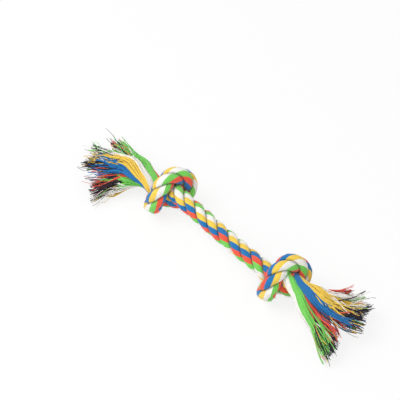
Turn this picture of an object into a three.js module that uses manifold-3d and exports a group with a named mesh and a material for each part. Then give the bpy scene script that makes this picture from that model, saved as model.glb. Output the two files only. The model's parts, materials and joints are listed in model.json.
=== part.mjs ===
// A rope tug toy for dogs: a right-hand laid rope of three cotton strands, tied in an overhand
// knot near each end, with the strands combed out into a tassel beyond each knot.
// Millimetres, +Z up. The toy lies along X and rests on a flat pressed under each knot.
import * as THREE from 'three';
import Module from 'manifold-3d';

const wasm = await Module();
wasm.setup();

// Rope
const ropeDiameter = 15; // across the lobes of the three strands
const layLength = 42; // along the rope for one full turn of a strand
const strandGap = 0.4; // between neighbouring strands
const ringsPerLay = 11;

// Knots
const knotRopeDiameter = 15.6; // of the rope in a knot, where nothing presses on it
const knotPitch = 11.6; // about what lies between the middles of two passes that press on each other
const passGap = 0.7; // left between the flats where they press
const knotSpacing = 137; // between the middles of the two knots
const knotRoll = THREE.MathUtils.degToRad(45); // how far each knot has rolled towards the front
const knotSwell = 22; // along the span, from the knot's size to the span's
const restFlat = 1.5; // depth of the flat pressed under each knot

// Bends in the span between the knots
const bendOffset = 28; // from the middle of the span to each bend
const bendCover = 2.8; // of the ball end beyond the rope's own radius
const bendGap = 0.35;

// Tassels
const rootDiameter = 17.5; // of the rope where it leaves a knot for its tassel
const rootGap = 0.3; // between a strand's end and the first yarn of its lock
const unlayLength = 26; // over which the strands lose their twist
const bunchDiameter = 27; // of the tassel once its yarns have loosened
const bunchSwell = 17; // along the tassel, from its root to the loosened bunch
const lockOpening = 1.9; // power by which a lock parts from the bunch towards its tip
const bundleGap = 0.28; // that each yarn bundle keeps to its own edge
const coreShare = 0.42; // of a lock's section that is dark filler yarn
const lockStations = [0, 3, 6, 9, 12, 15, 19, 24, 30, 37, 45, 53]; // along a lock, before its end
const tipGap = 2; // at least, from the last of those to the end

// Route of the rope through one knot, in units of knotPitch, from the middle of the pass over the
// top out to where the rope leaves. The other half is this one turned half round Z.
const knotPath = [
  [0, 0, 0.85],
  [0, -0.7, 0.8],
  [-0.15, -1.3, 0.4],
  [-0.45, -1.55, -0.2],
  [-0.75, -1.3, -0.8],
  [-0.9, -0.7, -1.2],
  [-0.8, 0, -1.2],
  [-0.4, 0.5, -0.85],
  [0.15, 0.55, -0.35],
  [0.75, 0.35, -0.05],
  [1.75, 0.2, 0],
];

// Route between the knots, from the middle of the span
const spanPath = [
  [-28, 1, 0.2],
  [0, 0, -1.5],
  [28, -1, -1.8],
];

// Each tassel: the line it follows from its root, and where its three locks end beside that line.
// A lock's turn is how many places on its five colours stand round it.
const tassels = {
  left: {
    line: [
      [0, 0, 0],
      [-14, -1, -1.5],
      [-29, -5.5, -6.5],
      [-44, -12, -11.5],
      [-60, -21, -14.5],
    ],
    locks: [
      { across: 2, up: 12.5, wide: 15.5, high: 9.5, length: 60, turn: 0 },
      { across: -25, up: -1, wide: 12, high: 8.5, length: 47, turn: 2 },
      { across: 21, up: -2.6, wide: 13, high: 7.8, length: 46, turn: 4 },
    ],
  },
  right: {
    line: [
      [0, 0, 0],
      [14, 1, -2],
      [29, 5.5, -8.5],
      [44, 12, -15.5],
      [60, 21, -20.5],
    ],
    locks: [
      { across: 4, up: 11.5, wide: 16.5, high: 9.5, length: 61, turn: 0 },
      { across: -29, up: -1, wide: 14, high: 8.5, length: 47, turn: 4 },
      { across: 21, up: -3.5, wide: 12, high: 8, length: 42, turn: 1 },
    ],
  },
};
const lockAngles = [90, 210, 330]; // of the top lock and the two lower ones round the tassel's line
const bundles = [
  { name: 'green', colour: 0x7dd75f, share: 0.94 },
  { name: 'white', colour: 0xf5f0f0, share: 1 },
  { name: 'yellow', colour: 0xfad755, share: 0.96 },
  { name: 'blue', colour: 0x1e78be, share: 0.9 },
  { name: 'orange', colour: 0xfa5f46, share: 0.98 },
];
const coreYarn = { name: 'core', colour: 0x231928, share: 0.99 };
const strands = [
  { name: 'strand_1', colour: 0xfad755 },
  { name: 'strand_2', colour: 0x7dd75f },
  { name: 'strand_3', colour: 0xfa5f46 },
];
const cotton = { roughness: 0.95, metalness: 0 };

const strandTurn = (2 * Math.PI) / strands.length;
const xAxis = new THREE.Vector3(1, 0, 0);
const zAxis = new THREE.Vector3(0, 0, 1);
const vector = (p) => new THREE.Vector3(...p);

function material(colour) {
  return new THREE.MeshStandardMaterial({ color: colour, ...cotton });
}

// Solids

function toSolid(geometry) {
  const position = geometry.getAttribute('position');
  const keys = new Map();
  const vertProperties = [];
  const seen = Array.from({ length: position.count }, (_, i) => {
    const point = [position.getX(i), position.getY(i), position.getZ(i)];
    const key = point.map((v) => v.toFixed(4)).join();
    if (!keys.has(key)) {
      keys.set(key, vertProperties.length / 3);
      vertProperties.push(...point);
    }
    return keys.get(key);
  });
  const triVerts = [];
  for (let i = 0; i < geometry.index.count; i += 3) {
    const tri = [0, 1, 2].map((k) => seen[geometry.index.getX(i + k)]);
    if (new Set(tri).size === 3) triVerts.push(...tri);
  }
  return new wasm.Manifold(
    new wasm.Mesh({
      numProp: 3,
      vertProperties: new Float32Array(vertProperties),
      triVerts: new Uint32Array(triVerts),
    }),
  );
}

function toGeometry(solid) {
  const mesh = solid.getMesh();
  const geometry = new THREE.BufferGeometry();
  geometry.setAttribute('position', new THREE.BufferAttribute(mesh.vertProperties, 3));
  geometry.setIndex(new THREE.BufferAttribute(mesh.triVerts, 1));
  geometry.computeVertexNormals();
  return geometry;
}

// Faces that two neighbours share run opposite ways round them, so half of each are split the other way.
const mirroredSplit = (side, count) => side < count / 2;

// A closed solid through rings of points. Each ring carries its outline in the plane, for the caps,
// and the same points in space. leans(side, count) says which way the face on that side is split.
function loft(rings, leans) {
  const count = rings[0].points.length;
  const last = rings.length - 1;
  const indices = [];
  for (let ring = 0; ring < last; ring += 1) {
    for (let side = 0; side < count; side += 1) {
      const next = (side + 1) % count;
      const [a, b] = [ring * count + side, ring * count + next];
      const [c, d] = [a + count, b + count];
      if (leans(side, count)) indices.push(a, b, d, a, d, c);
      else indices.push(a, b, c, b, d, c);
    }
  }
  for (const [a, b, c] of THREE.ShapeUtils.triangulateShape(rings[0].outline, [])) {
    indices.push(a, c, b);
  }
  for (const face of THREE.ShapeUtils.triangulateShape(rings[last].outline, [])) {
    indices.push(...face.map((k) => k + last * count));
  }
  const geometry = new THREE.BufferGeometry().setFromPoints(rings.flatMap((ring) => ring.points));
  geometry.setIndex(indices);
  geometry.computeVertexNormals();
  return geometry;
}

// Rope

function knotPoints(middleX) {
  const ahead = knotPath.map(vector);
  const behind = ahead.slice(1).map((p) => new THREE.Vector3(-p.x, -p.y, p.z));
  const middle = new THREE.Vector3(middleX, 0, 0);
  return [...behind.reverse(), ...ahead].map((p) =>
    p.multiplyScalar(knotPitch).applyAxisAngle(xAxis, knotRoll).add(middle),
  );
}

// Evenly spaced stations along a curve, with the distance at which each of its own points lies
function stations(points, spacing) {
  const curve = new THREE.CatmullRomCurve3(points);
  const perPoint = 60;
  const fine = curve.getPoints(perPoint * (points.length - 1));
  const run = [0];
  for (let i = 1; i < fine.length; i += 1) run.push(run[i - 1] + fine[i].distanceTo(fine[i - 1]));
  const length = run[run.length - 1];
  const steps = Math.round(length / spacing);
  const even = [];
  for (let i = 0, k = 0; i <= steps; i += 1) {
    const at = (length * i) / steps;
    while (k < run.length - 2 && run[k + 1] < at) k += 1;
    even.push(fine[k].clone().lerp(fine[k + 1], (at - run[k]) / (run[k + 1] - run[k])));
  }
  return { even, step: length / steps, length, fine, run, marks: points.map((_, i) => run[i * perPoint]) };
}

// Frames that turn no more than the curve makes them, measured from straight up at the middle
function carriedFrames(even) {
  const middle = Math.round((even.length - 1) / 2);
  const tangents = even.map((_, i) =>
    even[Math.min(i + 1, even.length - 1)].clone().sub(even[Math.max(i - 1, 0)]).normalize(),
  );
  const ups = [];
  const square = (up, i) => up.clone().addScaledVector(tangents[i], -up.dot(tangents[i])).normalize();
  ups[middle] = square(zAxis, middle);
  for (let i = middle + 1; i < even.length; i += 1) ups[i] = square(ups[i - 1], i);
  for (let i = middle - 1; i >= 0; i -= 1) ups[i] = square(ups[i + 1], i);
  return even.map((centre, i) => ({
    centre,
    tangent: tangents[i],
    up: ups[i],
    side: ups[i].clone().cross(tangents[i]),
  }));
}

// Outline of one strand in the rope's section: a wedge of a third of the round with a bulging crown,
// pointing along +x. It runs round from the rope's middle, so its two flanks mirror each other.
function strandOutline(radius, lobeAngle) {
  const half = strandTurn / 2;
  const flank = (out) =>
    new THREE.Vector2(Math.cos(half), Math.sin(half))
      .multiplyScalar(out * radius)
      .add(new THREE.Vector2(Math.sin(half), -Math.cos(half)).multiplyScalar(strandGap / 2));
  const crown = (share, angle) =>
    new THREE.Vector2(Math.cos(angle * half), Math.sin(angle * half)).multiplyScalar(share * radius);
  const oneSide = [crown(0.975, 0.33), crown(0.89, 0.67), flank(0.68), flank(0.38)];
  const mirrored = oneSide.map((p) => new THREE.Vector2(p.x, -p.y)).reverse();
  const apex = new THREE.Vector2(strandGap / 2 / Math.sin(half), 0);
  const round = [apex, ...mirrored, crown(1, 0), ...oneSide];
  return round.map((p) => p.rotateAround(new THREE.Vector2(), lobeAngle));
}

function place(frame, outline) {
  const points = outline.map((p) =>
    frame.centre.clone().addScaledVector(frame.side, p.x).addScaledVector(frame.up, p.y),
  );
  return { outline, points };
}

const leftKnotPoints = knotPoints(-knotSpacing / 2);
const rightKnotPoints = knotPoints(knotSpacing / 2);
const ropePoints = [...leftKnotPoints, ...spanPath.map(vector), ...rightKnotPoints];
const rope = stations(ropePoints, layLength / ringsPerLay);
const frames = carriedFrames(rope.even);
const distanceAt = (i) => i * rope.step;
const halfKnot = knotPath.length - 1;
const knotMiddles = [rope.marks[halfKnot], rope.marks[rope.marks.length - 1 - halfKnot]];
const knotReach = rope.marks[2 * halfKnot - 1] - rope.marks[halfKnot];
const passApart = 1.6 * knotRopeDiameter; // along the rope, at least, between two passes of it

// The rope has one size in the span and another in the knots, and opens at its two ends.
function ropeRadius(distance) {
  const away = Math.min(...knotMiddles.map((middle) => Math.abs(distance - middle)));
  const inSpan = distance > knotMiddles[0] && distance < knotMiddles[1];
  const full = inSpan ? knotReach + knotSwell : knotMiddles[0];
  const open = inSpan ? ropeDiameter : rootDiameter;
  const swell = THREE.MathUtils.smoothstep(away, knotReach, full);
  return THREE.MathUtils.lerp(knotRopeDiameter, open, swell) / 2;
}

// Turn of the first strand's lobe from the carried frame's side: a right-hand lay
function layAngle(distance) {
  return Math.PI / 2 + (2 * Math.PI * (distance - rope.length / 2)) / layLength;
}

// Where two passes of the rope press on each other, each gives way as far as halfway between them.
function pressed(ring, i) {
  const { centre } = frames[i];
  const passes = rope.fine.filter(
    (p, k) =>
      Math.abs(rope.run[k] - distanceAt(i)) > passApart && p.distanceTo(centre) < 2 * knotRopeDiameter,
  );
  if (passes.length === 0) return ring;
  const points = ring.points.map((point) => {
    const nearest = passes.reduce((a, b) => (b.distanceTo(point) < a.distanceTo(point) ? b : a));
    const way = nearest.clone().sub(centre).normalize();
    const halfway = nearest.clone().add(centre).multiplyScalar(0.5);
    const past = point.clone().sub(halfway).dot(way) + passGap / 2;
    return point.addScaledVector(way, -Math.max(past, 0));
  });
  return { outline: ring.outline, points };
}

function strandRing(strand, i) {
  const angle = layAngle(distanceAt(i)) + strand * strandTurn;
  return pressed(place(frames[i], strandOutline(ropeRadius(distanceAt(i)), angle)), i);
}

function strandPiece(strand, first, last) {
  const rings = [];
  for (let i = first; i <= last; i += 1) rings.push(strandRing(strand, i));
  return loft(rings, mirroredSplit);
}

// Bends: the span ends in a ball at each bend, and the knot's rope in a hollow that fits over it.
const ballRadius = ropeDiameter / 2 + bendCover;
const nearestStation = (x, from, to) => {
  let best = from;
  for (let i = from; i <= to; i += 1) {
    if (Math.abs(frames[i].centre.x - x) < Math.abs(frames[best].centre.x - x)) best = i;
  }
  return best;
};
const spanStart = Math.ceil((knotMiddles[0] + knotReach) / rope.step);
const spanEnd = Math.floor((knotMiddles[1] - knotReach) / rope.step);
const leftBend = nearestStation(-bendOffset, spanStart, spanEnd);
const rightBend = nearestStation(bendOffset, spanStart, spanEnd);
const ballSteps = Math.ceil((1.2 * ballRadius) / rope.step);

function ball(station, radius) {
  const { x, y, z } = frames[station].centre;
  return toSolid(new THREE.SphereGeometry(radius, 28, 18).translate(x, y, z));
}

function block(low, high) {
  const size = high.clone().sub(low);
  const middle = low.clone().add(high).multiplyScalar(0.5);
  return toSolid(new THREE.BoxGeometry(size.x, size.y, size.z).translate(middle.x, middle.y, middle.z));
}

const reach = knotSpacing; // wider than the rope anywhere
const spanBlock = block(
  new THREE.Vector3(frames[leftBend].centre.x, -reach, -reach),
  new THREE.Vector3(frames[rightBend].centre.x, reach, reach),
);
const spanShape = spanBlock.add(ball(leftBend, ballRadius)).add(ball(rightBend, ballRadius));
const leftHollow = ball(leftBend, ballRadius + bendGap);
const rightHollow = ball(rightBend, ballRadius + bendGap);

const uncut = strands.map((strand, k) => ({
  left: strandPiece(k, 0, leftBend),
  span: strandPiece(k, leftBend - ballSteps, rightBend + ballSteps),
  right: strandPiece(k, rightBend, frames.length - 1),
}));

// The surface that the toy rests on presses a flat into the lowest pass of each knot.
const lowest = Math.min(
  ...uncut.flatMap(({ left, right }) =>
    [left, right].map((g) => {
      g.computeBoundingBox();
      return g.boundingBox.min.z;
    }),
  ),
);
const floorZ = lowest + restFlat;
const floorBlock = block(
  new THREE.Vector3(-2 * reach, -reach, floorZ - reach),
  new THREE.Vector3(2 * reach, reach, floorZ),
);

const toy = new THREE.Group();

function addPiece(name, geometry, colour) {
  const mesh = new THREE.Mesh(geometry, material(colour));
  mesh.name = name;
  toy.add(mesh);
}

strands.forEach(({ name, colour }, k) => {
  const { left, span, right } = uncut[k];
  const leftKnot = toSolid(left).subtract(leftHollow).subtract(floorBlock);
  const rightKnot = toSolid(right).subtract(rightHollow).subtract(floorBlock);
  addPiece(`left_knot_${name}`, toGeometry(leftKnot), colour);
  addPiece(`span_${name}`, toGeometry(toSolid(span).intersect(spanShape)), colour);
  addPiece(`right_knot_${name}`, toGeometry(rightKnot), colour);
});

// Tassels

// The tassel's planes start square to the rope's end and come round to its own line.
function tasselFrame(curve, length, distance, root, outward) {
  const share = Math.min(distance / length, 1);
  const settled = THREE.MathUtils.smoothstep(distance, 0, unlayLength);
  const tangent = outward.clone().lerp(curve.getTangentAt(share), settled).normalize();
  const across = zAxis.clone().cross(tangent).normalize();
  return {
    centre: root.clone().add(curve.getPointAt(share)),
    tangent,
    side: across,
    up: tangent.clone().cross(across),
  };
}

// Outline of a whole lock: the strand's own section at the root, its third of the loosened bunch
// beyond that, and a loose oval at the tip
function lockOutline(lock, lobeAngle, restAngle, distance) {
  const unlaid = THREE.MathUtils.smoothstep(distance, 0, unlayLength);
  const angle = THREE.MathUtils.lerp(lobeAngle, restAngle, unlaid);
  const loosened = THREE.MathUtils.smoothstep(distance, 0, bunchSwell);
  const radius = THREE.MathUtils.lerp(rootDiameter, bunchDiameter, loosened) / 2;
  const turned = strandOutline(radius, angle);
  const atRest = strandOutline(radius, restAngle);
  const middle = atRest.reduce((sum, p) => sum.add(p), new THREE.Vector2()).divideScalar(atRest.length);
  const opened = (distance / lock.length) ** lockOpening;
  const outline = turned.map((p, k) => {
    const round = atRest[k].clone().sub(middle).angle();
    const tip = new THREE.Vector2(
      lock.across + lock.wide * Math.cos(round),
      lock.up + lock.high * Math.sin(round),
    );
    return p.clone().lerp(tip, opened);
  });
  const centre = middle.clone().rotateAround(new THREE.Vector2(), angle - restAngle);
  return { outline, centre: centre.lerp(new THREE.Vector2(lock.across, lock.up), opened) };
}

function drawnIn(outline) {
  const middle = outline.reduce((sum, p) => sum.add(p), new THREE.Vector2()).divideScalar(outline.length);
  return outline.map((p) => {
    const inward = middle.clone().sub(p);
    return p.clone().add(inward.setLength(Math.min(bundleGap, inward.length() / 2)));
  });
}

// One colour's share of a lock, or its dark middle where bundle is null
function bundleOutline({ outline, centre }, bundle) {
  const inner = outline.map((p) => centre.clone().lerp(p, coreShare));
  if (bundle === null) return drawnIn(inner);
  const per = outline.length / bundles.length;
  const range = Array.from({ length: per + 1 }, (_, i) => (bundle * per + i) % outline.length);
  return drawnIn([...range.map((i) => outline[i]), ...range.reverse().map((i) => inner[i])]);
}

const hinges = [];

function addTassel(end, rootFrame, outward, lobes) {
  const { line, locks } = tassels[end];
  const curve = new THREE.CatmullRomCurve3(line.map(vector));
  const length = curve.getLength();
  const root = rootFrame.centre.clone().addScaledVector(outward, rootGap);
  const first = tasselFrame(curve, length, 0, root, outward);
  const toDegrees = THREE.MathUtils.radToDeg;
  const angles = lobes.map((direction) =>
    toDegrees(Math.atan2(direction.dot(first.up), direction.dot(first.side))),
  );
  const spread = toDegrees(strandTurn);
  const turn = THREE.MathUtils.euclideanModulo(lockAngles[0] - angles[0] + spread / 2, spread) - spread / 2;
  angles.forEach((angle) => {
    const rest = angle + turn;
    const near = lockAngles.map((a) => Math.abs(THREE.MathUtils.euclideanModulo(rest - a + 180, 360) - 180));
    const which = near.indexOf(Math.min(...near));
    const lock = locks[which];
    const ring = (bundle) => (distance) => {
      const at = lockOutline(
        lock,
        THREE.MathUtils.degToRad(angle),
        THREE.MathUtils.degToRad(rest),
        distance,
      );
      return place(tasselFrame(curve, length, distance, root, outward), bundleOutline(at, bundle));
    };
    const stationsTo = (share) => {
      const tip = lock.length * share;
      return [...lockStations.filter((distance) => distance < tip - tipGap), tip];
    };
    const name = `${end}_lock_${which + 1}`;
    bundles.forEach(({ name: colourName, colour, share }, j) => {
      // The two ends of a strand show its colours in opposite turns.
      const sector = end === 'left' ? bundles.length - 1 - j + lock.turn : bundles.length + j - lock.turn;
      const geometry = loft(stationsTo(share).map(ring(sector % bundles.length)), mirroredSplit);
      addPiece(`${name}_${colourName}`, geometry, colour);
    });
    const core = loft(stationsTo(coreYarn.share).map(ring(null)), () => true);
    addPiece(`${name}_${coreYarn.name}`, core, coreYarn.colour);

    // Each lock swings outwards about the outer edge of its root.
    const out = THREE.MathUtils.degToRad(lockAngles[which]);
    const edge = root.clone();
    const axis = new THREE.Vector3();
    if (which === 0) {
      edge.addScaledVector(first.up, rootDiameter / 2);
      axis.copy(first.side).negate();
    } else {
      edge.addScaledVector(first.side, (Math.sign(Math.cos(out)) * rootDiameter) / 2);
      axis.copy(first.up).multiplyScalar(Math.sign(Math.cos(out)));
    }
    hinges.push({ name, point: edge, axis });
  });
}

const lobeDirections = (i) =>
  strands.map((_, k) => {
    const angle = layAngle(distanceAt(i)) + k * strandTurn;
    return frames[i].side
      .clone()
      .multiplyScalar(Math.cos(angle))
      .addScaledVector(frames[i].up, Math.sin(angle));
  });
const tail = frames.length - 1;
addTassel('left', frames[0], frames[0].tangent.clone().negate(), lobeDirections(0));
addTassel('right', frames[tail], frames[tail].tangent, lobeDirections(tail));
hinges.push({ name: 'bend_left', point: frames[leftBend].centre.clone(), axis: zAxis.clone() });
const yAxis = new THREE.Vector3(0, 1, 0);
hinges.push({ name: 'bend_right', point: frames[rightBend].centre.clone(), axis: yAxis });

// The origin is the middle of the toy's own box, on the surface that it rests on.
const box = new THREE.Box3().setFromObject(toy);
const middle = box.getCenter(new THREE.Vector3());
toy.position.set(-middle.x, -middle.y, -floorZ);
hinges.forEach(({ point }) => point.add(toy.position));
toy.userData.hinges = hinges;

// Least gap between separate passes of the rope inside the knots, from point to point of their rings
const rings = frames.map((_, i) => [...strands.keys()].flatMap((k) => strandRing(k, i).points));
let clearance = Infinity;
for (let i = 0; i < rings.length; i += 1) {
  for (let j = i + Math.ceil(passApart / rope.step); j < rings.length; j += 1) {
    if (frames[i].centre.distanceTo(frames[j].centre) < 2 * knotRopeDiameter) {
      for (const a of rings[i]) {
        for (const b of rings[j]) clearance = Math.min(clearance, a.distanceTo(b));
      }
    }
  }
}
const [ropeRun, leastGap] = [rope.length.toFixed(1), clearance.toFixed(2)];
console.log(`Rope ${ropeRun} mm between tassels, least gap to itself ${leastGap} mm`);

export default toy;
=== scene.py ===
import json
import math

import bpy
import numpy as np
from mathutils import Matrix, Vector


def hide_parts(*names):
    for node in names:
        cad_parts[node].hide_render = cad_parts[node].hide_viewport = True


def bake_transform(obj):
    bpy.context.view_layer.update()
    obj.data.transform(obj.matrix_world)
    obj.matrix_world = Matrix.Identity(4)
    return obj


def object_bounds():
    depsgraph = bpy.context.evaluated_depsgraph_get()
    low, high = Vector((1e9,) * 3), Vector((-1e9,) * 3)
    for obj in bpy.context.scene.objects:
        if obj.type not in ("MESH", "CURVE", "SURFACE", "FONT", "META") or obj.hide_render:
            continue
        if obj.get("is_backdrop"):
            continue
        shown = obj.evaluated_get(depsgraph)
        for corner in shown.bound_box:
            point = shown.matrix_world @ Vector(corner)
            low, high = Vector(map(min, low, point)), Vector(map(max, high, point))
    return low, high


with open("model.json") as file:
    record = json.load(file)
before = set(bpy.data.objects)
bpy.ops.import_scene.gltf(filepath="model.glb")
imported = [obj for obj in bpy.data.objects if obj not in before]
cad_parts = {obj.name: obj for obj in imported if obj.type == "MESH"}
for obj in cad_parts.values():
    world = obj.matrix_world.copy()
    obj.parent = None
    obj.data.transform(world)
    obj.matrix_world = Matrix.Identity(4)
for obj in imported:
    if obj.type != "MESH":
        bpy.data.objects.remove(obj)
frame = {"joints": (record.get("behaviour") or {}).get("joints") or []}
cadLow, cadHigh = (np.array(corner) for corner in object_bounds())
joints = {joint["name"]: joint for joint in frame["joints"]}
chance = np.random.default_rng(41)
mm = 0.001  # sizes are in millimetres where nothing else is said
fullTurn = 2 * math.pi


# curves

def catmull(points, steps):  # smooth curve through the points, in so many steps from each to the next
    p = np.array(points, float)
    q = np.vstack([2 * p[0] - p[1], p, 2 * p[-1] - p[-2]])
    w = np.arange(steps)[:, None] / steps
    made = []
    for i in range(len(p) - 1):
        p0, p1, p2, p3 = q[i : i + 4]
        d0, d1, d2 = (np.sqrt(np.linalg.norm(b - a)) for a, b in ((p0, p1), (p1, p2), (p2, p3)))
        t1 = ((p1 - p0) / d0 - (p2 - p0) / (d0 + d1) + (p2 - p1) / d1) * d1
        t2 = ((p2 - p1) / d1 - (p3 - p1) / (d1 + d2) + (p3 - p2) / d2) * d1
        squared = (-3 * p1 + 3 * p2 - 2 * t1 - t2) * w**2
        cubed = (2 * p1 - 2 * p2 + t1 + t2) * w**3
        made.append(p1 + t1 * w + squared + cubed)
    made.append(p[-1:])
    return np.vstack(made)


def runAlong(points):
    return np.concatenate([[0], np.cumsum(np.linalg.norm(np.diff(points, axis=0), axis=1))])


def sampled(points, run, at):
    return np.stack([np.interp(at, run, points[:, k]) for k in range(3)], axis=-1)


def unit(v):
    return v / np.linalg.norm(v, axis=-1, keepdims=True)


def smooth(x, low, high):
    t = np.clip((x - low) / (high - low), 0, 1)
    return t * t * (3 - 2 * t)


def spun(point, angle):
    c, s = np.cos(angle), np.sin(angle)
    return np.stack([point[..., 0] * c - point[..., 1] * s, point[..., 0] * s + point[..., 1] * c], axis=-1)


# the rope's way through both knots

ropeSet = {
    "diameter": 15.0,
    "lay": 42.0,  # along the rope for one turn of a strand
    "stationsPerLay": 11,  # those of the solids, which the joints sit on
    "knotDiameter": 16.2,  # loose yarn stands a little proud of the solids
    "knotPitch": 11.6,  # between two passes that press on each other
    "knotSpacing": 137.0,
    "knotRoll": math.radians(45),
    "knotSwell": 22.0,  # along the span, until the rope has its own diameter
    "bendOffset": 28.0,  # of each hinge from the middle of the span
    "rootDiameter": 17.5,
    "curveSteps": 60,
}
knotPath = [  # half a knot, from the top pass to the way out, in units of the pitch
    (0, 0, 0.85),
    (0, -0.7, 0.8),
    (-0.15, -1.3, 0.4),
    (-0.45, -1.55, -0.2),
    (-0.75, -1.3, -0.8),
    (-0.9, -0.7, -1.2),
    (-0.8, 0, -1.2),
    (-0.4, 0.5, -0.85),
    (0.15, 0.55, -0.35),
    (0.75, 0.35, -0.05),
    (1.75, 0.2, 0),
]
hiddenPass = (4, 8)  # the points of a half knot that lie under the rest
spanPath = [(-28, 1, 0.2), (0, 0, -1.5), (28, -1, -1.8)]


def knotPoints(middleX):
    ahead = np.array(knotPath, float)
    behind = ahead[1:] * (-1, -1, 1)
    p = np.vstack([behind[::-1], ahead]) * ropeSet["knotPitch"]
    c, s = math.cos(ropeSet["knotRoll"]), math.sin(ropeSet["knotRoll"])
    return np.stack([p[:, 0] + middleX, p[:, 1] * c - p[:, 2] * s, p[:, 1] * s + p[:, 2] * c], axis=1)


def carried(points):  # frames that turn no more than the curve makes them
    tangent = unit(np.gradient(points, axis=0))
    up = np.zeros_like(points)
    middle = round((len(points) - 1) / 2)
    square = lambda v, i: unit(v - tangent[i] * np.dot(v, tangent[i]))
    up[middle] = square(np.array([0.0, 0, 1]), middle)
    for i in range(middle + 1, len(points)):
        up[i] = square(up[i - 1], i)
    for i in range(middle - 1, -1, -1):
        up[i] = square(up[i + 1], i)
    return tangent, up, np.cross(up, tangent)


knotX = ropeSet["knotSpacing"] / 2
routePoints = np.vstack([knotPoints(-knotX), spanPath, knotPoints(knotX)])
fineRoute = catmull(routePoints, ropeSet["curveSteps"])
fineRun = runAlong(fineRoute)
marks = fineRun[:: ropeSet["curveSteps"]]  # how far along each point of the route lies
ropeLength = fineRun[-1]
halfKnot = len(knotPath) - 1
knotMiddles = (marks[halfKnot], marks[-1 - halfKnot])
knotReach = marks[2 * halfKnot - 1] - marks[halfKnot]

# the solids' left hinge says where the toy lies in its own frame
stationStep = ropeSet["lay"] / ropeSet["stationsPerLay"]
stationAt = np.linspace(0, ropeLength, round(ropeLength / stationStep) + 1)
stationPoints = sampled(fineRoute, fineRun, stationAt)
inSpan = (stationAt > knotMiddles[0] + knotReach) & (stationAt < knotMiddles[1] - knotReach)
leftBend = min(np.where(inSpan)[0], key=lambda i: abs(stationPoints[i, 0] + ropeSet["bendOffset"]))
shift = np.array(joints["bend_left"]["pos_m"]) / mm - stationPoints[leftBend]
fineRoute = fineRoute + shift
print("toy shifted by", np.round(shift, 2), "rope", round(ropeLength, 1), "mm")


def ropeRadius(at):
    away = np.minimum(abs(at - knotMiddles[0]), abs(at - knotMiddles[1]))
    between = (at > knotMiddles[0]) & (at < knotMiddles[1])
    full = np.where(between, knotReach + ropeSet["knotSwell"], knotMiddles[0])
    wide = np.where(between, ropeSet["diameter"], ropeSet["rootDiameter"])
    tight = ropeSet["knotDiameter"]
    return (tight + (wide - tight) * smooth(away, knotReach, full)) / 2


def layAngle(at):
    return fullTurn / 4 + fullTurn * (at - ropeLength / 2) / ropeSet["lay"]


# a strand's outline in the rope's section

sectionSet = {
    "crown": [(0.97, 0.33), (0.87, 0.67)],  # share of the radius, share of the way round to the flank
    "flank": [0.64, 0.38],  # shares of the radius
    "middle": 0.56,  # of the strand, as a share of the radius
    "curveSteps": 24,
}
thirdTurn = fullTurn / 3


def wedge(gap):  # in a rope of radius 1, with the lobe along x, from the middle of the rope round
    h = thirdTurn / 2
    out, inward = np.array([math.cos(h), math.sin(h)]), np.array([math.sin(h), -math.cos(h)])
    crown = lambda share, angle: np.array([math.cos(angle * h), math.sin(angle * h)]) * share
    flank = lambda share: out * share + inward * gap / 2
    side = [crown(*corner) for corner in sectionSet["crown"]] + [flank(share) for share in sectionSet["flank"]]
    other = [p * (1, -1) for p in side][::-1]
    return np.array([[gap / 2 / math.sin(h), 0], *other, crown(1, 0), *side])


def roundOutline(corners, count):  # smooth closed curve through the corners, even along its length
    steps = sectionSet["curveSteps"]
    closed = np.vstack([corners[-2:], corners, corners[:3]])
    fine = catmull(np.column_stack([closed, np.zeros(len(closed))]), steps)[2 * steps : -2 * steps, :2]
    run = runAlong(fine)
    at = np.linspace(0, run[-1], count)
    return np.stack([np.interp(at, run, fine[:, k]) for k in (0, 1)], axis=-1)


# meshes

def meshPiece(name, points, faces, uvs, material, crease=None):
    mesh = bpy.data.meshes.new(name)
    mesh.from_pydata((points * mm).tolist(), [], faces)
    mesh.uv_layers.new(name="yarn").data.foreach_set("uv", uvs.astype(np.float32).ravel())
    if crease is not None:
        # a map of painted shade that the strand material darkens its colour by
        mesh.attributes.new("crease", "FLOAT", "POINT").data.foreach_set("value", crease.astype(np.float32))
    mesh.materials.append(material)
    mesh.polygons.foreach_set("use_smooth", np.ones(len(mesh.polygons), bool))
    mesh.update()
    piece = bpy.data.objects.new(name, mesh)
    bpy.context.scene.collection.objects.link(piece)
    return piece


def gridFaces(rings, around, first=0):
    i, j = np.meshgrid(np.arange(rings - 1), np.arange(around), indexing="ij")
    n = (j + 1) % around
    quads = np.stack([i * around + j, i * around + n, (i + 1) * around + n, (i + 1) * around + j], axis=-1)
    return quads.reshape(-1, 4) + first


def gridUvs(along, around):
    i, j = np.meshgrid(np.arange(len(along) - 1), np.arange(around), indexing="ij")
    u0, u1 = j / around, (j + 1) / around
    v0, v1 = along[i], along[i + 1]
    corners = [np.stack(corner, axis=-1) for corner in ((u0, v0), (u1, v0), (u1, v1), (u0, v1))]
    return np.stack(corners, axis=2).reshape(-1, 2)


def tubePiece(name, points, along, around, material, crease):  # the last two points close the ends
    faces = gridFaces(len(along), around).tolist()
    uvs = [gridUvs(along, around)]
    j = np.arange(around)
    n = (j + 1) % around
    last = (len(along) - 1) * around
    hub = len(points) - 2
    for a, b, top, v in ((n, j, hub, along[0]), (last + j, last + n, hub + 1, along[-1])):
        faces += np.column_stack([a, b, np.full(around, top)]).tolist()
        u = np.stack([a % around, b % around, (a % around + b % around) / 2], axis=-1) / around
        uvs.append(np.stack([u, np.full_like(u, v)], axis=-1).reshape(-1, 2))
    return meshPiece(name, points, faces, np.vstack(uvs), material, crease)


# shaders

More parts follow.
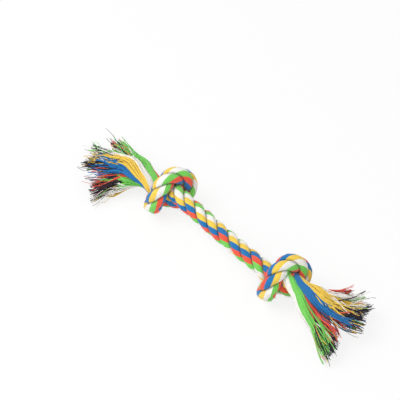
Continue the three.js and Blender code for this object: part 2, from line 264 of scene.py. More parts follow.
class Flow:  # a socket that takes part in sums
    def __init__(self, shader, socket):
        self.shader = shader
        self.socket = socket

    def math(self, operation, *others):
        return self.shader.node("ShaderNodeMath", {"operation": operation}, [self, *others])[0]

    def __add__(self, other):
        return self.math("ADD", other)

    __radd__ = __add__

    def __mul__(self, other):
        return self.math("MULTIPLY", other)

    __rmul__ = __mul__

    def __sub__(self, other):
        return self.math("SUBTRACT", other)

    def __rsub__(self, other):
        return self.shader.node("ShaderNodeMath", {"operation": "SUBTRACT"}, [other, self])[0]


class Shader:
    def __init__(self, name):
        self.material = bpy.data.materials.new(name)
        self.material.use_nodes = True
        self.tree = self.material.node_tree
        self.tree.nodes.clear()

    def node(self, kind, settings=None, values=None):
        made = self.tree.nodes.new(kind)
        for key, value in (settings or {}).items():
            if key == "stops":
                ramp = made.color_ramp
                for _ in range(len(value) - len(ramp.elements)):
                    ramp.elements.new(0.5)
                for element, (position, colour) in zip(ramp.elements, value):
                    element.position = position
                    element.color = (*colour, 1)
            elif key == "interpolation":
                made.color_ramp.interpolation = value
            else:
                setattr(made, key, value)
        pairs = enumerate(values) if isinstance(values, list) else (values or {}).items()
        for key, value in pairs:
            if isinstance(value, Flow):
                self.tree.links.new(value.socket, made.inputs[key])
            else:
                made.inputs[key].default_value = value
        return [Flow(self, socket) for socket in made.outputs]

    def yarnMap(self):  # round the yarn, along it
        uv = self.node("ShaderNodeUVMap", {"uv_map": "yarn"})[0]
        return self.node("ShaderNodeSeparateXYZ", None, [uv])[:2]

    def noise(self, scale, detail):
        place = self.node("ShaderNodeTexCoord")[3]  # object coordinates
        return self.node("ShaderNodeTexNoise", None, {"Vector": place, "Scale": scale, "Detail": detail})[0]

    def shaded(self, colour, shade):
        grey = self.node("ShaderNodeCombineXYZ", None, [shade, shade, shade])[0]
        blend = {"data_type": "RGBA", "blend_type": "MULTIPLY"}
        return self.node("ShaderNodeMix", blend, {0: 1, 6: colour, 7: grey})[2]  # the colour sockets

    def finish(self, shaderFlow):
        self.node("ShaderNodeOutputMaterial", None, {"Surface": shaderFlow})
        return self.material


dyes = {  # as they look in plain light
    "green": (0.205, 0.68, 0.115),
    "white": (0.93, 0.912, 0.865),
    "yellow": (0.95, 0.66, 0.09),
    "blue": (0.012, 0.19, 0.5),
    "orange": (0.92, 0.115, 0.06),
    "core": (0.018, 0.012, 0.024),
}
bundleColours = [name for name in dyes if name != "core"]  # in turn round a strand
cottonSet = {"bump": 0.6, "specular": 0.25, "sheen": 0.35, "sheenRoughness": 0.5}


def cottonLook(shader, colour, height, look):
    relief = {"Strength": cottonSet["bump"], "Distance": look["relief"], "Height": height}
    cotton = {
        "Base Color": colour,
        "Roughness": look["roughness"],
        "Normal": shader.node("ShaderNodeBump", None, relief)[0],
        "Specular IOR Level": cottonSet["specular"],
        "Sheen Weight": cottonSet["sheen"],
        "Sheen Roughness": cottonSet["sheenRoughness"],
    }
    return shader.finish(shader.node("ShaderNodeBsdfPrincipled", None, cotton)[0])


# the three strands, each as a left and a right piece that meet in the middle of the span

strandSet = {
    "names": ["strand_1", "strand_2", "strand_3"],
    "ringStep": 1.15,  # along the rope
    "yarnsPerColour": 4,
    "pointsPerYarn": 5,
    "yarnHeight": 0.34,
    "yarnRound": 0.96,  # 1 would make a yarn half a circle
    "yarnSunk": 0.55,  # share of its height that lies below the strand's outline
    "yarnTurns": -2.1,  # of a strand's yarns against its lobe, for one turn of the lay
    "phases": [0.03, 0.58, 0.93],
    "slip": 0.4,  # of a turn, by which the yarns have slipped round where they run under the left knot
    "creep": -0.25,  # of a turn, by which they creep round along the span
    "gap": 0.008,  # between two strands, as a share of the radius
    "outlinePoints": 721,
    "grooveShade": (0.6, 0.84),  # painted shade in the grooves between strands: shares of the radius, from full dark to none
    "passApart": 1.6,  # diameters along the rope, between two passes of it
    "passReach": 24.0,  # between the middles of two passes that may touch
    "passGap": 0.04,
    "passShade": (-1.6, 0.4),  # painted contact shade, about the plane where two passes meet, from no dark to full
    "restHeight": 0.05,
    "stopShort": 10.0,  # before the root of the tassel
    "bendReach": 13.0,  # to each side of a hinge
    "cordDiameter": 0.0076,  # in metres
}
strandLook = {
    "edgeFray": 0.03,  # of a turn, at the edges of the colours
    "edgeScale": 900,
    "blotchScale": 260,
    "fluffScale": 2600,
    "plyTurns": 0.55,  # for each millimetre
    "brightness": 1.1,
    # painted shade in the furrows between yarns
    "furrow": 0.12,
    "blotch": 0.22,
    # painted shade that lightens the plies' crests and darkens their hollows, in step with their bump
    "ply": 0.05,
    # how much of the colour the painted shade in grooves and pressed contacts takes away
    "crease": 0.74,
    "plyHeight": 0.5,
    "fluffHeight": 0.9,
    "relief": 0.00022,
    "roughness": 0.92,
}
yarnsRound = len(bundleColours) * strandSet["yarnsPerColour"]


def strandCotton(look):  # five dyed bundles round the strand, with the plies of each yarn, and painted shade in the furrows between yarns, on the plies' hollows, in the grooves and where passes press
    shader = Shader("laidStrandCotton")
    u, v = shader.yarnMap()
    band = (u + (shader.noise(look["edgeScale"], 2) - 0.5) * look["edgeFray"]).math("FRACT")
    colours = [(i / len(bundleColours), dyes[name]) for i, name in enumerate(bundleColours)]
    dye = shader.node("ShaderNodeValToRGB", {"interpolation": "CONSTANT", "stops": colours}, [band])[0]
    blotch = shader.noise(look["blotchScale"], 3)
    ply = ((u * yarnsRound + v * look["plyTurns"]) * fullTurn).math("SINE")
    across = (u * (fullTurn * yarnsRound)).math("COSINE")  # 1 in the furrow between two yarns, where painted shade darkens the colour
    crease = shader.node("ShaderNodeAttribute", {"attribute_name": "crease"})[2]  # painted shade of the grooves and pressed contacts, as a plain value
    # painted shade in the furrows and on the plies, with blotches of random tone
    shade = look["brightness"] - look["furrow"] * across - look["blotch"] * blotch + look["ply"] * ply
    # the colour darkened by painted shade in the grooves and where passes press
    tint = shader.shaded(dye, shade * (1 - look["crease"] * crease))
    height = ply * look["plyHeight"] + shader.noise(look["fluffScale"], 2) * look["fluffHeight"]
    return cottonLook(shader, tint, height, look)


strandMaterial = strandCotton(strandLook)
wholeAt = np.linspace(0, ropeLength, 2 * round(ropeLength / strandSet["ringStep"]) + 1)
wholeCentre = sampled(fineRoute, fineRun, wholeAt)
wholeTangent, wholeUp, wholeSide = carried(wholeCentre)
slipBetween = [marks[halfKnot + point] for point in hiddenPass]  # in the left knot
creepBetween = (knotMiddles[0] + knotReach / 2, knotMiddles[1] - knotReach)


def pressed(points, centre, at):  # two passes of soft rope that touch give way, half each, and get painted contact shade
    elsewhere = abs(wholeAt - at) > strandSet["passApart"] * ropeSet["diameter"]
    near = elsewhere & (np.linalg.norm(wholeCentre - centre, axis=1) < strandSet["passReach"])
    if not near.any():
        return points, np.zeros(len(points))
    others = wholeCentre[near]
    nearest = others[np.linalg.norm(points[:, None] - others, axis=2).argmin(axis=1)]
    way = unit(nearest - centre)
    past = ((points - (nearest + centre) / 2) * way).sum(axis=1, keepdims=True)
    given = points - way * np.maximum(past + strandSet["passGap"], 0)
    # the second value is painted shade where the passes press together
    return given, smooth(past[:, 0], *strandSet["passShade"])


def strandPiece(k, startAt, endAt, name):
    at = np.linspace(startAt, endAt, round((endAt - startAt) / strandSet["ringStep"]) + 1)
    up, side = (unit(sampled(way, wholeAt, at)) for way in (wholeUp, wholeSide))
    centre = sampled(fineRoute, fineRun, at)
    radius = ropeRadius(at)
    angle = layAngle(at) + k * thirdTurn
    slipped = strandSet["phases"][k] + strandSet["slip"] * (1 - smooth(at, *slipBetween))
    slipped = slipped + strandSet["creep"] * smooth(at, *creepBetween)
    around = yarnsRound * strandSet["pointsPerYarn"]
    outline = roundOutline(wedge(strandSet["gap"]), strandSet["outlinePoints"])
    outlineRun = np.linspace(0, 1, strandSet["outlinePoints"])
    share = np.arange(around) / around
    furrow = np.abs(np.mod(share * yarnsRound, 1) - 0.5) * 2
    ridge = np.sqrt(1 - strandSet["yarnRound"] * furrow**2) - strandSet["yarnSunk"]
    ridge = ridge * strandSet["yarnHeight"]
    lobeMiddle = np.array([sectionSet["middle"], 0])
    points, middles, crease = [], [], []
    for i in range(len(at)):
        turned = share + strandSet["yarnTurns"] * (at[i] - ropeLength / 2) / ropeSet["lay"] + slipped[i]
        flat = np.stack([np.interp(np.mod(turned, 1), outlineRun, outline[:, c]) for c in (0, 1)], axis=-1)
        flat = flat * radius[i] + unit(flat - lobeMiddle) * ridge[:, None]
        c, s = math.cos(angle[i]), math.sin(angle[i])
        x, y = flat[:, :1] * c - flat[:, 1:] * s, flat[:, :1] * s + flat[:, 1:] * c
        given, shadeWherePressed = pressed(centre[i] + side[i] * x + up[i] * y, centre[i], at[i])
        # painted shade, darker the deeper a point lies in the groove between strands
        shadeInGroove = 1 - smooth(np.linalg.norm(flat, axis=1) / radius[i], *strandSet["grooveShade"])
        points.append(given)
        # painted shade of the groove or of the pressed contact, whichever is darker
        crease.append(np.maximum(shadeInGroove, shadeWherePressed))
        middles.append(centre[i] + (side[i] * c + up[i] * s) * sectionSet["middle"] * radius[i])
    points = np.vstack(points)
    points[:, 2] = np.maximum(points[:, 2], strandSet["restHeight"])  # pressed flat where the knot rests
    hubs = [points[:around].mean(axis=0), points[-around:].mean(axis=0)]
    skin = {"points": points.reshape(len(at), around, 3), "crease": np.array(crease), "at": at}
    # the caps at the strand's ends are painted in full shade
    crease = np.concatenate([*crease, [1, 1]])
    piece = tubePiece(name, np.vstack([points, hubs]), at, around, strandMaterial, crease)
    return piece, np.array(middles), skin


def bendWithRope(piece, end):
    pivot = Vector(joints["bend_" + end]["pos_m"])
    reach = strandSet["bendReach"] * mm
    towards = Vector((-reach if end == "left" else reach, 0, 0))
    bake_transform(piece)


skins = {"left": [], "right": []}
halfSpans = {
    "left": (strandSet["stopShort"], ropeLength / 2),
    "right": (ropeLength / 2, ropeLength - strandSet["stopShort"]),
}
for k, strandName in enumerate(strandSet["names"]):
    for end in ("left", "right"):
        piece, middles, skin = strandPiece(k, *halfSpans[end], f"{end}Strand{k + 1}")
        skins[end].append(skin)
        replaced = [f"{end}_knot_{strandName}"] + ([f"span_{strandName}"] if end == "left" else [])
        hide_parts(*replaced)
        bendWithRope(piece, end)
        path = middles[::2] * mm
        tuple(path[0] if end == "left" else path[-1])
        round(float(runAlong(middles)[-1]) * mm, 3)
print("strands laid")


# tassels: three locks at each end, each with its dyed bundles and its dark core

tasselSet = {
    "rootGap": 0.3,
    "strandGap": 0.02,  # share of the rope's radius
    "lineSteps": 50,
    "unlay": 26.0,  # the strands lose their twist over this
    "bunchDiameter": 27.0,
    "bunchSwell": 17.0,
    "opening": 1.9,
    "overrun": 1.2,  # share of a lock's length at which it opens no further
    "lockAngles": [90.0, 210.0, 330.0],
    "bend": (3, 14),  # before and past the root
    "left": {
        "line": [(0, 0, 0), (-14, -1, -1.5), (-29, -5.5, -6.5), (-44, -12, -11.5), (-60, -21, -14.5)],
        "locks": [
            {"across": 2, "up": 12.5, "wide": 15.5, "high": 9.5, "length": 60, "turn": 0},
            {"across": -25, "up": -1, "wide": 12, "high": 8.5, "length": 47, "turn": 2},
            {"across": 21, "up": -2.6, "wide": 13, "high": 7.8, "length": 46, "turn": 4},
        ],
    },
    "right": {
        "line": [(0, 0, 0), (14, 1, -2), (29, 5.5, -8.5), (44, 12, -15.5), (60, 21, -20.5)],
        "locks": [
            {"across": 4, "up": 11.5, "wide": 16.5, "high": 9.5, "length": 61, "turn": 0},
            {"across": -29, "up": -1, "wide": 14, "high": 8.5, "length": 47, "turn": 4},
            {"across": 21, "up": -3.5, "wide": 12, "high": 8, "length": 42, "turn": 1},
        ],
    },
}
yarnSet = {  # shares are of the lock's length
    "shares": {"green": 0.94, "white": 1.0, "yellow": 0.96, "blue": 0.9, "orange": 0.98, "core": 0.99},
    "perBundle": 46,
    "inCore": 92,
    "frays": 18,  # thin threads at the tip of each bundle
    "diameter": 1.25,
    "thread": 0.55,  # diameter of a fray
    "widths": (0.8, 1.15),
    "taper": 0.75,
    "start": -14.0,  # before the root, inside the edge of the knot
    "ends": (0.92, 1.05),  # shares of the clump's length, as those of the frays
    "frayStarts": (0.45, 0.65),  # shares of the bundle's length
    "frayEnds": (0.98, 1.14),
    "frayDepth": 0.85,
    "coreShare": 0.42,  # of the way out from the middle of a lock
    "coreSpread": 1.2,
    "coreFrom": 0.02,
    "coreTips": (0.5, 1.2),  # how far out the core's yarns come at their tips
    "coreRisen": 0.74,  # share of the lock's length by which they have come out
    "bundleSpread": 1.14,
    "sector": (0.05, 1.95),  # corners of the lock's outline, two for each bundle
    "strays": 0.34,  # share of the yarns that cross over into another colour's clump
    "strayReach": 3.6,  # in corners of the lock's outline
    "crossFrom": (0.15, 0.4),  # shares of the lock's length
    "crossTo": (0.65, 0.95),
    "loose": 6,  # past the root, where a yarn begins to go its own way
    "wander": {"clump": 1.7, "yarn": 0.85, "fray": 2.4},
    "wanderGrowth": 1.3,
    "layInside": 0.4,  # share of the rope's twist that the yarns keep inside the knot's edge
    "pathSteps": 44,
    "smoothings": 4,
    "points": 16,
    "proud": 4.0,  # at most, past the box of the solids
    "restHeight": 0.55,
    "endRadius": 0.02,
    "endTail": 0.5,  # in radii
}
clumpSet = {  # the tufts that the yarns of a bundle draw into towards its tip
    "count": 5,
    "pull": 0.5,  # share of the way to its clump that a yarn goes
    "doubt": 0.5,  # in corners, by which a yarn may miss its nearest clump
    "depths": (0.3, 1.0),
    "lengths": (0.8, 1.0),
    "coreLengths": (0.95, 1.06),
}
wanderSet = {"drift": (2.0, 1.5), "waves": (2.8, 7), "turns": (0, 6.3), "ripples": (0.3, 1.1)}
yarnLook = {
    "blotchScale": 420,
    "fluffScale": 3000,
    "twists": 0.7,  # for each millimetre
    "plies": 2,
    "brightness": 1.14,
    "blotch": 0.3,
    # painted shade that lightens the twist's crests and darkens its hollows, in step with its bump
    "twist": 0.07,
    "twistHeight": 0.5,
    "fluffHeight": 0.7,
    "relief": 0.00018,
    "roughness": 0.9,
}


def yarnCotton(name, look):  # one dyed yarn, twisted, with painted shade that follows its twist
    shader = Shader(name + "YarnCotton")
    u, v = shader.yarnMap()
    twist = ((u * look["plies"] + v * look["twists"]) * fullTurn).math("SINE")
    # random blotches of tone, and painted shade in step with the twist's bump
    shade = look["brightness"] - look["blotch"] * shader.noise(look["blotchScale"], 3) + look["twist"] * twist
    tint = shader.shaded((*dyes[name], 1), shade)
    height = twist * look["twistHeight"] + shader.noise(look["fluffScale"], 2) * look["fluffHeight"]
    return cottonLook(shader, tint, height, look)


yarnMaterials = {name: yarnCotton(name, yarnLook) for name in dyes}
rootIndex = {"left": 0, "right": len(wholeAt) - 1}
outwards = {"left": -wholeTangent[0], "right": wholeTangent[-1]}
roots = {end: wholeCentre[rootIndex[end]] + outwards[end] * tasselSet["rootGap"] for end in outwards}
lines = {}
for end in roots:
    line = catmull(tasselSet[end]["line"], tasselSet["lineSteps"])
    lines[end] = (line, runAlong(line), unit(np.gradient(line, axis=0)))
wedgeCorners = wedge(tasselSet["strandGap"])
wedgeMiddle = wedgeCorners.mean(axis=0)
cornerCount = len(wedgeCorners)


def tasselFrames(end, at):
    line, run, slope = lines[end]
    where = np.clip(at, 0, run[-1])
    settled = smooth(at, 0, tasselSet["unlay"])[:, None]
    tangent = unit(outwards[end] * (1 - settled) + sampled(slope, run, where) * settled)
    across = unit(np.cross([0, 0, 1.0], tangent))
    return roots[end] + sampled(line, run, where), across, np.cross(tangent, across)


def lobesAtRoot(end):  # how each strand's lobe stands at the root, and where it comes to rest
    index = rootIndex[end]
    _, across, up = tasselFrames(end, np.zeros(1))
    lobes = []
    for k in range(3):
        a = layAngle(wholeAt[index]) + k * thirdTurn
        way = wholeSide[index] * math.cos(a) + wholeUp[index] * math.sin(a)
        lobes.append(math.degrees(math.atan2(way @ up[0], way @ across[0])))
    angles = tasselSet["lockAngles"]
    swing = (angles[0] - lobes[0] + 60) % 120 - 60
    off = lambda rest, n: abs((rest - angles[n] + 180) % 360 - 180)
    return {min(range(3), key=lambda n: off(lobe + swing, n)): (lobe, lobe + swing) for lobe in lobes}


def lockPoint(lock, lobe, rest, at, corner, depth):
    # corner is a yarn's place round its lock's outline, depth its share of the way out from the middle
    corner = np.broadcast_to(corner, at.shape)
    low = np.floor(corner).astype(int) % cornerCount
    part = (corner - np.floor(corner))[:, None]
    rim = wedgeCorners[low] * (1 - part) + wedgeCorners[(low + 1) % cornerCount] * part
    angle = lobe + (rest - lobe) * smooth(at, 0, tasselSet["unlay"])
    loosened = smooth(at, 0, tasselSet["bunchSwell"])
    radius = (ropeSet["rootDiameter"] * (1 - loosened) + tasselSet["bunchDiameter"] * loosened)[:, None] / 2
    opened = np.clip(at / lock["length"], 0, tasselSet["overrun"])[:, None] ** tasselSet["opening"]
    facing = spun(rim - wedgeMiddle, rest)
    facing = np.arctan2(facing[:, 1], facing[:, 0])
    tipMiddle = np.array([lock["across"], lock["up"]])
    tipRim = tipMiddle + np.stack([lock["wide"] * np.cos(facing), lock["high"] * np.sin(facing)], axis=-1)
    centre = spun(wedgeMiddle, angle) * radius * (1 - opened) + tipMiddle * opened
    outer = spun(rim, angle) * radius * (1 - opened) + tipRim * opened
    return centre + (outer - centre) * depth


def pathInside(end, lock, lobe, yarn, ropeAt):  # inside the knot's edge a yarn follows its strand
    _, across, up = tasselFrames(end, np.zeros(1))
    section = lockPoint(lock, lobe, lobe, np.zeros(1), yarn["corner"], yarn["depth"])[0]
    vector = across[0] * section[0] + up[0] * section[1]
    index = rootIndex[end]
    local = np.array([vector @ wholeSide[index], vector @ wholeUp[index]])
    twist = yarnSet["layInside"] * fullTurn * (ropeAt - wholeAt[index]) / ropeSet["lay"]
    local = spun(local, twist) * (ropeRadius(ropeAt) * 2 / ropeSet["rootDiameter"])[:, None]
    side, lift = sampled(wholeSide, wholeAt, ropeAt), sampled(wholeUp, wholeAt, ropeAt)
    return sampled(fineRoute, fineRun, ropeAt) + side * local[:, :1] + lift * local[:, 1:]


def yarnPath(end, lock, lobes, yarn):
    at = np.linspace(*yarn["span"], yarnSet["pathSteps"])
    out, back = at[at >= 0], at[at < 0]
    centre, across, up = tasselFrames(end, out)
    free = smooth(out, yarnSet["loose"], lock["length"])[:, None]
    risen = smooth(out, yarnSet["loose"], lock["length"] * yarn["risenBy"])[:, None]
    depth = yarn["depth"] + (yarn["tipDepth"] - yarn["depth"]) * risen
    crossed = smooth(out, *(share * lock["length"] for share in yarn["crossing"]))
    flat = lockPoint(lock, *lobes, out, yarn["corner"] + yarn["crosses"] * crossed, depth)
    clump = lockPoint(lock, *lobes, out, yarn["clump"]["corner"], yarn["clump"]["depth"])
    flat = flat + (clump - flat) * clumpSet["pull"] * free
    own = smooth(out, max(yarn["span"][0], yarnSet["loose"]), lock["length"])[:, None]
    for wander, grown in ((yarn["clump"]["wander"], free), (yarn["wander"], own)):
        wave = out / wander["wave"]
        ripple = np.stack([np.sin(wave + wander["turn"]), np.cos(0.8 * wave + 2 * wander["turn"])], axis=-1)
        flat = flat + grown ** yarnSet["wanderGrowth"] * (wander["drift"] + ripple * wander["ripple"])
    path = centre + across * flat[:, :1] + up * flat[:, 1:]
    if len(back):
        ropeAt = -back if end == "left" else ropeLength + back
        path = np.vstack([pathInside(end, lock, lobes[0], yarn, ropeAt), path])
    for _ in range(yarnSet["smoothings"]):
        path[1:-1] = (path[:-2] + 2 * path[1:-1] + path[2:]) / 4
    run = runAlong(path)
    path = sampled(path, run, np.linspace(0, run[-1], yarnSet["points"]))
    past = path - np.clip(path, cadLow / mm, cadHigh / mm)
    path = path - past + yarnSet["proud"] * np.tanh(past / yarnSet["proud"])
    path[:, 2] = np.maximum(path[:, 2], yarnSet["restHeight"])
    return path


def yarnTube(path, radii, sides):
    tangent = unit(np.gradient(path, axis=0))
    a = unit(np.cross(tangent, [0.05, 0.02, 1.0]))  # a way that no yarn runs
    b = np.cross(tangent, a)
    angle = fullTurn * np.arange(sides) / sides
    ring = a[:, None] * np.cos(angle)[None, :, None] + b[:, None] * np.sin(angle)[None, :, None]
    return (path[:, None] + ring * radii[:, None, None]).reshape(-1, 3)


def bundlePiece(name, paths, widths, material, sides=4, places=None):
    points, faces, uvs = [], [], []
    count = 0
    for n, (path, radii) in enumerate(zip(paths, widths)):
        tail = path[0] - unit(path[1] - path[0]) * radii[0] * yarnSet["endTail"]
        tip = path[-1] + unit(path[-1] - path[-2]) * radii[-1]
        full = np.vstack([tail, path, tip])
        closed = np.concatenate([[yarnSet["endRadius"]], radii, [yarnSet["endRadius"]]])
        points.append(yarnTube(full, closed, sides))
        faces += gridFaces(len(full), sides, count).tolist()
        uv = gridUvs(runAlong(full), sides)
        uvs.append(uv if places is None else np.full_like(uv, 1) * places[n])
        count += len(full) * sides
    return meshPiece(name, np.vstack(points), faces, np.vstack(uvs), material)


def randomWander(amount):
    return {
        "drift": chance.normal(0, 1, 2) * (np.array(wanderSet["drift"]) * amount),
        "wave": chance.uniform(*wanderSet["waves"]),
        "turn": chance.uniform(*wanderSet["turns"]),
        "ripple": chance.uniform(*wanderSet["ripples"]) * amount,
    }


def yarnCorner(colour, sector):  # the core's yarns lie anywhere, the others in their bundle's sector
    if colour == "core":
        return chance.uniform(0, cornerCount)
    return 2 * sector + chance.uniform(*yarnSet["sector"])


def yarnDepth(core):
    inner = yarnSet["coreShare"]
    if core:
        return inner * yarnSet["coreSpread"] * math.sqrt(chance.uniform(yarnSet["coreFrom"], 1))
    return math.sqrt(chance.uniform(inner**2, 1)) * yarnSet["bundleSpread"]


def bundleClumps(lock, colour, sector):
    length = lock["length"] * yarnSet["shares"][colour]
    lengths = clumpSet["coreLengths" if colour == "core" else "lengths"]
    return [
        {
            "corner": yarnCorner(colour, sector),
            "depth": chance.uniform(*clumpSet["depths"]),
            "wander": randomWander(yarnSet["wander"]["clump"]),
            "length": length * chance.uniform(*lengths),
        }
        for _ in range(clumpSet["count"])
    ]


def yarnSpan(length, clump, fray):
    if fray:
        start = length * chance.uniform(*yarnSet["frayStarts"])
        return start, clump["length"] * chance.uniform(*yarnSet["frayEnds"])
    return yarnSet["start"], clump["length"] * chance.uniform(*yarnSet["ends"])


def bundleYarns(lock, colour, sector, clumps, others):
    core = colour == "core"
    length = lock["length"] * yarnSet["shares"][colour]
    whole = yarnSet["inCore"] if core else yarnSet["perBundle"]
    for n in range(whole + yarnSet["frays"]):
        fray = n >= whole
        corner = chance.uniform(0, cornerCount) if fray and n % 2 else yarnCorner(colour, sector)
        miss = lambda c: abs(c["corner"] - corner) + chance.uniform(0, clumpSet["doubt"])
        clump = min(clumps, key=miss)
        depth = min(yarnDepth(core), yarnSet["frayDepth"]) if fray else yarnDepth(core)
        crosses = 0
        if not fray and chance.random() < yarnSet["strays"]:
            way = lambda c: (c["corner"] - corner + cornerCount / 2) % cornerCount - cornerCount / 2
            clump = chance.choice([c for c in others if abs(way(c)) < yarnSet["strayReach"]])
            crosses = way(clump)
        yield {
            "corner": corner,
            "crosses": crosses,
            "crossing": (chance.uniform(*yarnSet["crossFrom"]), chance.uniform(*yarnSet["crossTo"])),
            "depth": depth,
            "tipDepth": chance.uniform(*yarnSet["coreTips"]) if core else depth,
            "risenBy": yarnSet["coreRisen"] if core else 1,
            "clump": clump,
            "wander": randomWander(yarnSet["wander"]["fray" if fray else "yarn"]),
            "span": yarnSpan(length, clump, fray),
            "width": yarnSet["thread" if fray else "diameter"] * chance.uniform(*yarnSet["widths"]),
        }


def sectorOf(end, lock, j):  # a strand's two ends show its colours in opposite turns
    along = j - lock["turn"]
    return (-1 - along if end == "left" else along) % len(bundleColours)


for end in ("left", "right"):
    bendBefore, bendPast = tasselSet["bend"]
    bendFrom = Vector((roots[end] - outwards[end] * bendBefore) * mm)
    bendTo = Vector((roots[end] + outwards[end] * bendPast) * mm)
    for which, (lobe, rest) in lobesAtRoot(end).items():
        lock = tasselSet[end]["locks"][which]
        lobes = (math.radians(lobe), math.radians(rest))
        body = f"{end}_lock_{which + 1}"
        sectors = {colour: sectorOf(end, lock, j) for j, colour in enumerate([*bundleColours, "core"])}
        clumps = {colour: bundleClumps(lock, colour, sector) for colour, sector in sectors.items()}
        for colour, sector in sectors.items():
            others = [clump for name, group in clumps.items() if name != colour for clump in group]
            yarns = list(bundleYarns(lock, colour, sector, clumps[colour], others))
            paths = [yarnPath(end, lock, lobes, yarn) for yarn in yarns]
            taper = np.linspace(1, yarnSet["taper"], yarnSet["points"])
            widths = [yarn["width"] / 2 * taper for yarn in yarns]
            name = f"{end}Lock{which + 1}{colour.capitalize()}"
            piece = bundlePiece(name, paths, widths, yarnMaterials[colour])
            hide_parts(f"{body}_{colour}")
            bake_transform(piece)
    print(end, "tassel combed out")


# loose fibres and slack threads on the rope

fibreSet = {
    "fibres": 700,  # on each half of the rope
    "lengths": (1.0, 3.2),
    "widths": (0.07, 0.13),
    "stand": (0.35, 1.0),  # how far a fibre stands off
    "leanAlong": 0.9,
    "leanAcross": 0.5,
    "curls": (0.05, 0.35),  # shares of the length
    "threads": 16,
    "threadRings": 4,  # that a slack thread skips
    "threadLift": (0.5, 1.5),
    "threadAside": (-0.8, 0.8),
    "threadWidth": 0.36,
    "taper": 0.7,
    "rooted": 0.1,  # below the yarn's surface
    "points": 6,
    "inLight": 0.3,  # the most painted crease shade where one may grow
    "offFloor": 4,
}


def outwardAt(skin, i, j):
    grid = skin["points"]
    around = grid.shape[1]
    along = unit(grid[i + 1, j] - grid[i - 1, j])
    aside = grid[i, (j + 2) % around] - grid[i, (j - 2) % around]
    return along, unit(np.cross(aside, along))


def slackThread(grid, i, j, along, out, t):
    rings = fibreSet["threadRings"]
    path = sampled(grid[i : i + rings + 1, j], np.linspace(0, 1, rings + 1), t[:, 0])
    aside = np.cross(along, out) * chance.uniform(*fibreSet["threadAside"])
    lifted = out * chance.uniform(*fibreSet["threadLift"]) + aside
    return path + lifted * np.sin(math.pi * t) - out * fibreSet["rooted"], fibreSet["threadWidth"]


def looseFibre(grid, i, j, along, out, t):
    length = chance.uniform(*fibreSet["lengths"])
    lean = out * chance.uniform(*fibreSet["stand"]) + along * chance.normal(0, fibreSet["leanAlong"])
    lean = unit(lean + np.cross(along, out) * chance.normal(0, fibreSet["leanAcross"]))
    curl = unit(chance.normal(0, 1, 3)) * length * chance.uniform(*fibreSet["curls"])
    path = grid[i, j] - out * fibreSet["rooted"] + lean * length * t + curl * t**2
    return path, chance.uniform(*fibreSet["widths"])


def looseOn(skin, thread):
    grid = skin["points"]
    rings = fibreSet["threadRings"] if thread else 1
    inOpen = (skin["crease"] < fibreSet["inLight"]) & (grid[:, :, 2] > fibreSet["offFloor"])
    free = inOpen[2 : -rings - 2] & inOpen[2 + rings : -2]
    i, j = chance.choice(np.argwhere(free)) + (2, 0)
    t = np.linspace(0, 1, fibreSet["points"])[:, None]
    grow = slackThread if thread else looseFibre
    path, width = grow(grid, i, j, *outwardAt(skin, i, j), t)
    place = ((j + 0.5) / grid.shape[1], skin["at"][i])
    return path, np.linspace(width, width * fibreSet["taper"], len(path)) / 2, place


for end, halves in skins.items():
    kinds = [False] * fibreSet["fibres"] + [True] * fibreSet["threads"]
    loose = [looseOn(halves[n % len(halves)], thread) for n, thread in enumerate(kinds)]
    paths, widths, places = zip(*loose)
    piece = bundlePiece(f"{end}LooseFibres", paths, widths, strandMaterial, 3, places)
    bendWithRope(piece, end)
print("fibres loosened")


# floor, light and camera, in metres

stageSet = {
    "floorSize": 6.0,
    "floorHeight": -0.0002,
    "floorGrey": 0.93,
    "floorGlow": 0.82,  # share of white that the camera sees in it
    "worldLight": 0.515,
    "lamps": {  # place, size, power
        "keyLight": ((-0.5, -0.5, 1.1), 0.9, 10.2),
        "fillLight": ((1.0, -0.6, 0.9), 1.0, 4.7),
    },
    "azimuth": 45,
    "elevation": 50,
    "distance": 2.2,
    "mmPerPixel": 0.857,
    "halfPicture": 200,  # in pixels
    "knotsAt": (222.5, 233.5),  # the middle between the knots, in the picture's pixels
    "sensor": 36,
    "farthest": 20,
}


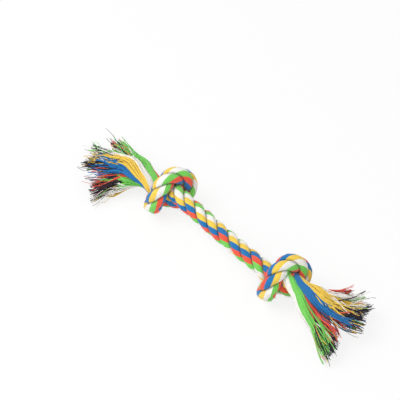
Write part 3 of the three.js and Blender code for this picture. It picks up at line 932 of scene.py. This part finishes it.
def paleFloor():
    shader = Shader("paleFloor")
    rays = shader.node("ShaderNodeLightPath")
    seen = rays[0].math("MAXIMUM", rays[3]).math("MAXIMUM", rays[6])  # camera, glossy and transmission rays
    matt = shader.node("ShaderNodeBsdfDiffuse", None, {"Color": (*[stageSet["floorGrey"]] * 3, 1)})[0]
    white = shader.node("ShaderNodeEmission", None, {"Color": (1, 1, 1, 1), "Strength": 1.0})[0]
    glow = seen * stageSet["floorGlow"]
    return shader.finish(shader.node("ShaderNodeMixShader", None, [glow, matt, white])[0])


def softBox(name, place, size, power):
    lamp = bpy.data.lights.new(name, "AREA")
    lamp.size = size
    lamp.energy = power
    holder = bpy.data.objects.new(name, lamp)
    bpy.context.scene.collection.objects.link(holder)
    holder.location = place
    holder.rotation_euler = (-Vector(place)).to_track_quat("-Z", "Y").to_euler()


bpy.ops.object.select_all(action="DESELECT")
bpy.ops.mesh.primitive_plane_add(size=stageSet["floorSize"], location=(0, 0, stageSet["floorHeight"]))
floor = bpy.context.active_object
floor.name = "floor"
floor.data.materials.append(paleFloor())
floor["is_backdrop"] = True

world = bpy.data.worlds.new("studio")
bpy.context.scene.world = world
world.use_nodes = True
backdrop = world.node_tree.nodes["Background"]
backdrop.inputs["Color"].default_value = (1, 1, 1, 1)
backdrop.inputs["Strength"].default_value = stageSet["worldLight"]
for name, lamp in stageSet["lamps"].items():
    softBox(name, *lamp)

cameraData = bpy.data.cameras.new("camera")
camera = bpy.data.objects.new("camera", cameraData)
bpy.context.scene.collection.objects.link(camera)
bpy.context.scene.camera = camera
a, e = math.radians(stageSet["azimuth"]), math.radians(stageSet["elevation"])
back = Vector((math.sin(a) * math.cos(e), -math.cos(a) * math.cos(e), math.sin(e)))
turned = (-back).to_track_quat("-Z", "Y")
rightward, upward = turned @ Vector((1, 0, 0)), turned @ Vector((0, 1, 0))
pixel = stageSet["mmPerPixel"] * mm
pixelsRight, pixelsDown = (at - stageSet["halfPicture"] for at in stageSet["knotsAt"])
aim = Vector(shift * mm) - rightward * pixelsRight * pixel + upward * pixelsDown * pixel
camera.location = aim + back * stageSet["distance"]
camera.rotation_mode = "QUATERNION"
camera.rotation_quaternion = turned
cameraData.sensor_width = stageSet["sensor"]
cameraData.lens = stageSet["sensor"] / 2 / (stageSet["halfPicture"] * pixel / stageSet["distance"])
cameraData.clip_end = stageSet["farthest"]

bpy.context.scene.view_settings.view_transform = "Standard"
print("stage set")
